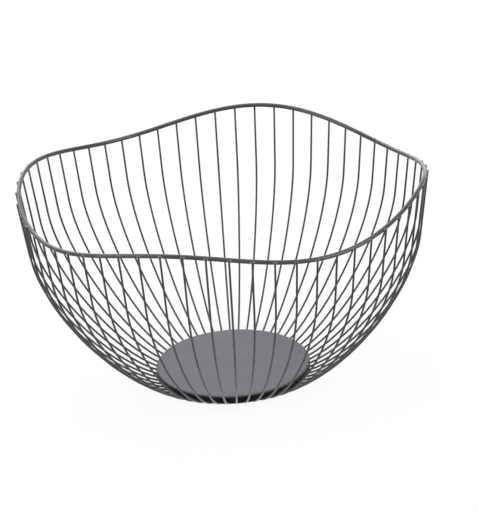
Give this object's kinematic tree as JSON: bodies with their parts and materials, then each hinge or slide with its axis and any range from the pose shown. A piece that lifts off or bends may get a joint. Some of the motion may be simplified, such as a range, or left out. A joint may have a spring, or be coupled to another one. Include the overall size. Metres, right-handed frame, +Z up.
{
  "type": "fruit bowl",
  "caption": "Round open fruit bowl of dark grey coated steel wire: upright ribs rise from a small pressed disc and flare to a thicker rim wire that rises and falls in waves.",
  "frame": {"origin": "on the table, under the centre of the bowl", "axes": "+Z up along the bowl's axis; a peak of the rim's waves stands over +X, and another over +Y"},
  "size_m": [0.3034, 0.3034, 0.1592],
  "materials": {
    "rim_wire": "satin dark grey powder coat",
    "rib_wire": "satin dark grey powder coat",
    "base_sheet": "satin dark grey powder coat"
  },
  "bodies": {
    "root": {"rim_wire": "rim_wire", "base_disc": "base_sheet", "rib_02": "rib_wire", "rib_03": "rib_wire", "rib_04": "rib_wire", "rib_05": "rib_wire", "rib_06": "rib_wire", "rib_07": "rib_wire", "rib_08": "rib_wire", "rib_09": "rib_wire", "rib_10": "rib_wire", "rib_11": "rib_wire", "rib_12": "rib_wire", "rib_13": "rib_wire", "rib_14": "rib_wire", "rib_15": "rib_wire", "rib_16": "rib_wire", "rib_17": "rib_wire", "rib_18": "rib_wire", "rib_19": "rib_wire", "rib_20": "rib_wire", "rib_21": "rib_wire", "rib_22": "rib_wire", "rib_23": "rib_wire", "rib_24": "rib_wire", "rib_25": "rib_wire", "rib_26": "rib_wire", "rib_27": "rib_wire", "rib_28": "rib_wire", "rib_29": "rib_wire", "rib_30": "rib_wire", "rib_32": "rib_wire", "rib_33": "rib_wire", "rib_34": "rib_wire", "rib_35": "rib_wire", "rib_36": "rib_wire", "rib_37": "rib_wire", "rib_38": "rib_wire", "rib_39": "rib_wire", "rib_40": "rib_wire", "rib_41": "rib_wire", "rib_42": "rib_wire", "rib_43": "rib_wire", "rib_44": "rib_wire", "rib_45": "rib_wire", "rib_46": "rib_wire", "rib_47": "rib_wire", "rib_48": "rib_wire", "rib_49": "rib_wire", "rib_50": "rib_wire", "rib_51": "rib_wire", "rib_52": "rib_wire", "rib_53": "rib_wire", "rib_54": "rib_wire", "rib_55": "rib_wire", "rib_56": "rib_wire", "rib_57": "rib_wire", "rib_58": "rib_wire", "rib_59": "rib_wire", "rib_60": "rib_wire"}
  },
  "joints": []
}
